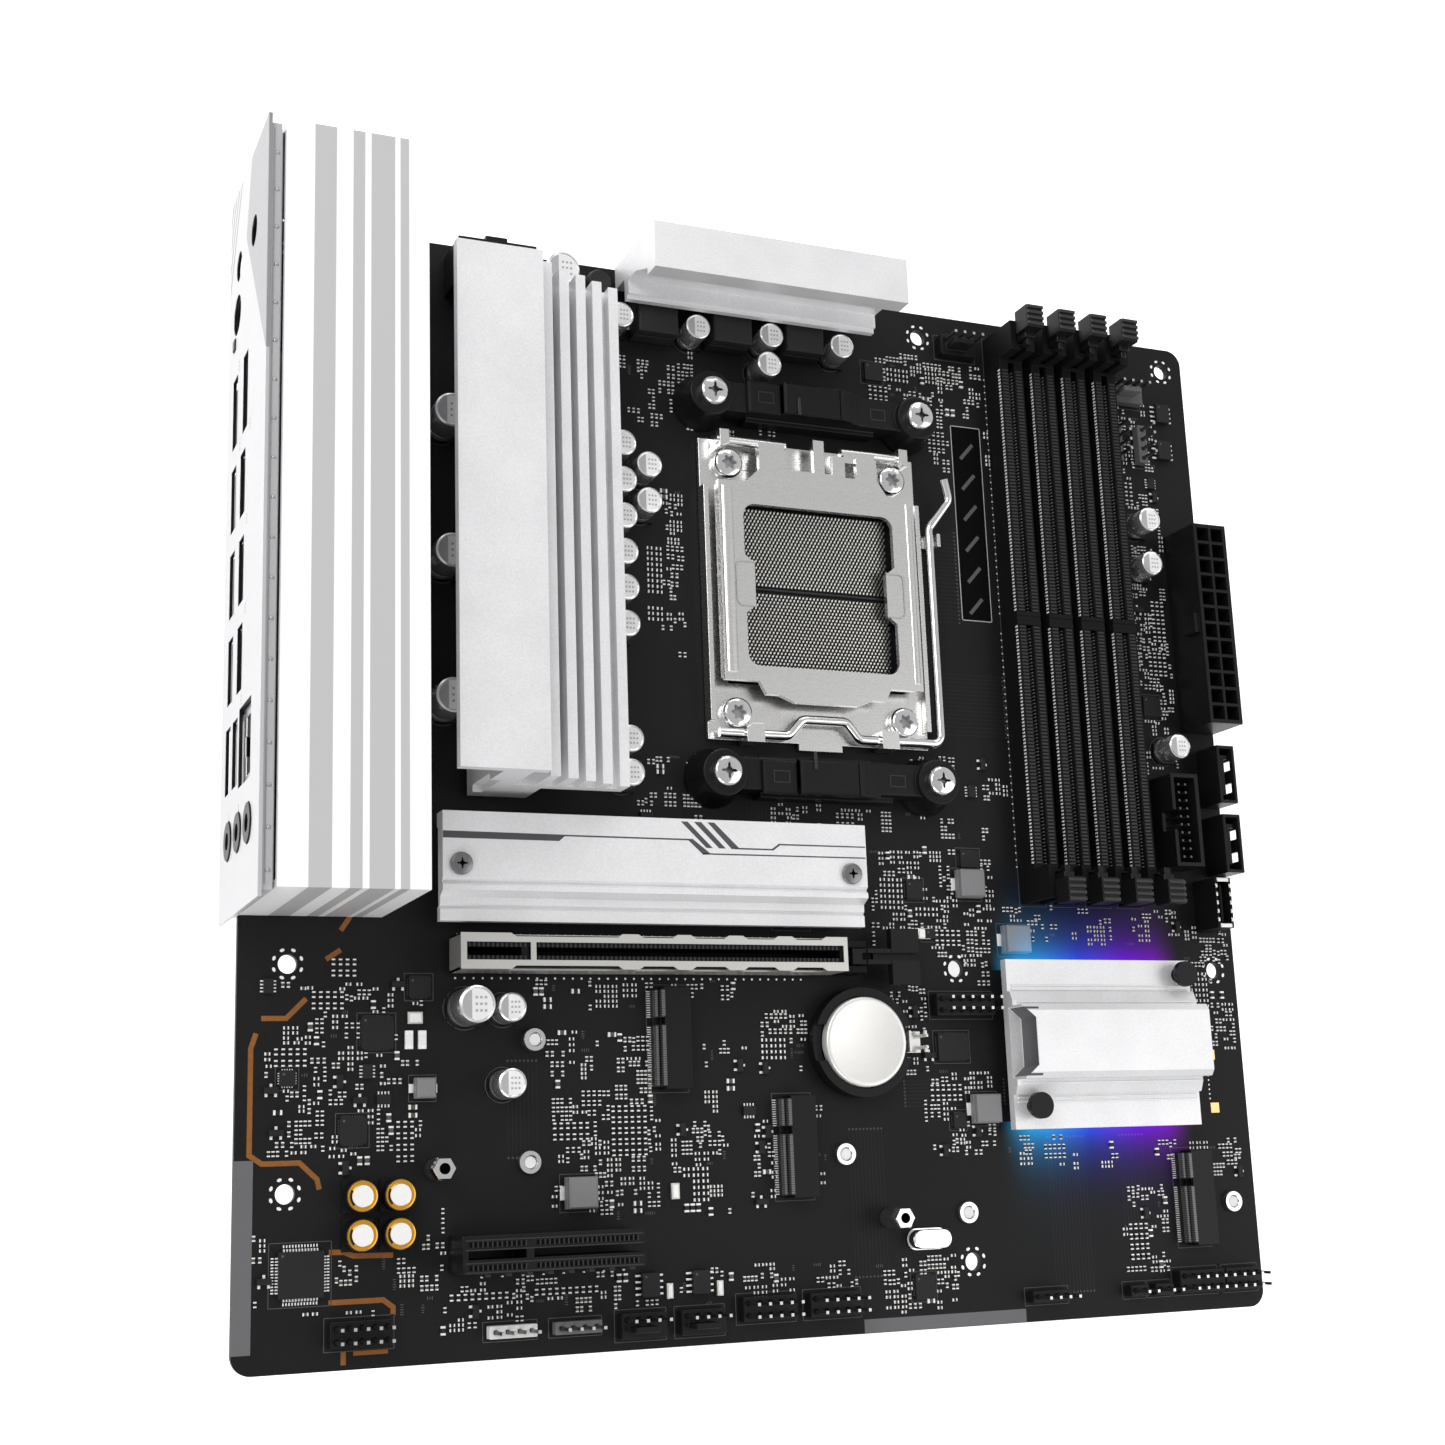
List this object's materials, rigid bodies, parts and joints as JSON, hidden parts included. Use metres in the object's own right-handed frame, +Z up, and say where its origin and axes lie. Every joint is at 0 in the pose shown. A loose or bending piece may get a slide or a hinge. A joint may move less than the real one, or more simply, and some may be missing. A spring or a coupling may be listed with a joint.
{
  "type": "computer motherboard",
  "caption": "Black microATX computer motherboard with silver heatsinks, white port cover, processor socket with load lever, latched memory slots and expansion slots.",
  "frame": {"origin": "centre of the four corner standoff holes, on the underside of the circuit board", "axes": "+Z up out of the component side, +X from the rear port edge to the front edge, +Y from the expansion slot edge to the processor edge"},
  "size_m": [0.2474, 0.2467, 0.0448],
  "materials": {
    "solder_mask": "matte black solder mask over fibreglass",
    "shield_plate": "printed light silver sheet steel",
    "cover_white": "white moulded plastic with printed grey stripes",
    "heatsink_silver": "bead-blasted silver anodised",
    "screw_steel": "nickel-plated steel",
    "socket_steel": "bright rolled stainless steel",
    "backplate_steel": "black coated steel",
    "slot_shield_steel": "bright folded steel",
    "plastic_black": "black glass-filled nylon",
    "ic_black": "moulded epoxy",
    "contact_gold": "gold-flashed contacts in a grey field",
    "cell_steel": "stainless steel can",
    "pin_metal": "plated pins",
    "header_grey": "grey nylon",
    "capacitor_can": "bare aluminium can",
    "capacitor_gold": "gold printed sleeve",
    "ferrite_dark": "dark grey powder-pressed core",
    "ferrite_grey": "grey powder-pressed core",
    "pad_grey": "soft silicone pad",
    "port_metal": "nickel-plated port shells"
  },
  "bodies": {
    "board": {"pcb": "solder_mask", "io_shield": "shield_plate", "io_cover": "cover_white", "vrm_heatsink_left": "heatsink_silver", "vrm_heatsink_top": "heatsink_silver", "m2_heatsink": "heatsink_silver", "m2_heatsink_screws": "screw_steel", "chipset_heatsink": "heatsink_silver", "chipset_push_pins": "plastic_black", "chipset": "ic_black", "cpu_socket": "plastic_black", "socket_contact_field": "contact_gold", "socket_frame": "socket_steel", "socket_screws": "screw_steel", "socket_backplate": "backplate_steel", "cooler_bracket_upper": "plastic_black", "cooler_bracket_lower": "plastic_black", "cooler_bracket_screws": "screw_steel", "dimm_slots": "plastic_black", "pcie_x16_slot": "plastic_black", "pcie_x16_shield": "slot_shield_steel", "pcie_x4_slot": "plastic_black", "battery_holder": "plastic_black", "battery_clip": "socket_steel", "atx_power_connector": "plastic_black", "cpu_power_connector": "plastic_black", "sata_connectors": "plastic_black", "usb3_header": "plastic_black", "usb_c_header": "slot_shield_steel", "pin_header_bases": "plastic_black", "header_pins": "pin_metal", "fan_and_light_headers": "header_grey", "polymer_capacitors": "capacitor_can", "audio_capacitors": "capacitor_gold", "vrm_chokes": "ferrite_dark", "thermal_pads": "pad_grey", "power_inductors": "ferrite_grey", "ic_packages": "ic_black", "m2_sockets": "plastic_black", "m2_standoffs": "screw_steel", "heatsink_screws": "screw_steel", "rear_usb_ports": "port_metal", "lan_port": "port_metal", "rear_video_ports": "port_metal", "ps2_port": "plastic_black", "audio_jacks": "plastic_black", "flashback_switch": "plastic_black"},
    "lever": {"socket_lever": "screw_steel"},
    "load_plate": {"socket_load_plate": "socket_steel"},
    "latch_low_1": {"dimm_latch_low_1": "plastic_black"},
    "latch_high_1": {"dimm_latch_high_1": "plastic_black"},
    "latch_low_2": {"dimm_latch_low_2": "plastic_black"},
    "latch_high_2": {"dimm_latch_high_2": "plastic_black"},
    "latch_low_3": {"dimm_latch_low_3": "plastic_black"},
    "latch_high_3": {"dimm_latch_high_3": "plastic_black"},
    "latch_low_4": {"dimm_latch_low_4": "plastic_black"},
    "latch_high_4": {"dimm_latch_high_4": "plastic_black"},
    "slot_latch": {"pcie_x16_latch": "plastic_black"},
    "cell": {"battery": "cell_steel"},
    "button": {"flashback_button": "plastic_black"}
  },
  "joints": [
    {"name": "lever_hinge", "type": "hinge", "parent": "board", "child": "lever", "pos_m": [0.00838, -0.02615, 0.0052], "axis": [1, 0, 0], "range_deg": [0, 125]},
    {"name": "load_plate_hinge", "type": "hinge", "parent": "board", "child": "load_plate", "pos_m": [0.00838, 0.04385, 0.006], "axis": [-1, 0, 0], "range_deg": [0, 110]},
    {"name": "latch_low_1_hinge", "type": "hinge", "parent": "board", "child": "latch_low_1", "pos_m": [0.06338, -0.05975, 0.0052], "axis": [1, 0, 0], "range_deg": [0, 25]},
    {"name": "latch_high_1_hinge", "type": "hinge", "parent": "board", "child": "latch_high_1", "pos_m": [0.06338, 0.07685, 0.0052], "axis": [-1, 0, 0], "range_deg": [0, 25]},
    {"name": "latch_low_2_hinge", "type": "hinge", "parent": "board", "child": "latch_low_2", "pos_m": [0.07254, -0.05975, 0.0052], "axis": [1, 0, 0], "range_deg": [0, 25]},
    {"name": "latch_high_2_hinge", "type": "hinge", "parent": "board", "child": "latch_high_2", "pos_m": [0.07254, 0.07685, 0.0052], "axis": [-1, 0, 0], "range_deg": [0, 25]},
    {"name": "latch_low_3_hinge", "type": "hinge", "parent": "board", "child": "latch_low_3", "pos_m": [0.08171, -0.05975, 0.0052], "axis": [1, 0, 0], "range_deg": [0, 25]},
    {"name": "latch_high_3_hinge", "type": "hinge", "parent": "board", "child": "latch_high_3", "pos_m": [0.08171, 0.07685, 0.0052], "axis": [-1, 0, 0], "range_deg": [0, 25]},
    {"name": "latch_low_4_hinge", "type": "hinge", "parent": "board", "child": "latch_low_4", "pos_m": [0.09088, -0.05975, 0.0052], "axis": [1, 0, 0], "range_deg": [0, 25]},
    {"name": "latch_high_4_hinge", "type": "hinge", "parent": "board", "child": "latch_high_4", "pos_m": [0.09088, 0.07685, 0.0052], "axis": [-1, 0, 0], "range_deg": [0, 25]},
    {"name": "slot_latch_hinge", "type": "hinge", "parent": "board", "child": "slot_latch", "pos_m": [0.01277, -0.0769, 0.0048], "axis": [0, 1, 0], "range_deg": [0, 15]},
    {"name": "cell_lift", "type": "slide", "parent": "board", "child": "cell", "axis": [0, 0, 1], "range_m": [0, 0.006]},
    {"name": "button_press", "type": "slide", "parent": "board", "child": "button", "axis": [1, 0, 0], "range_m": [0, 0.0005], "stiffness_N_per_m": 200, "springref_m": -0.001}
  ]
}
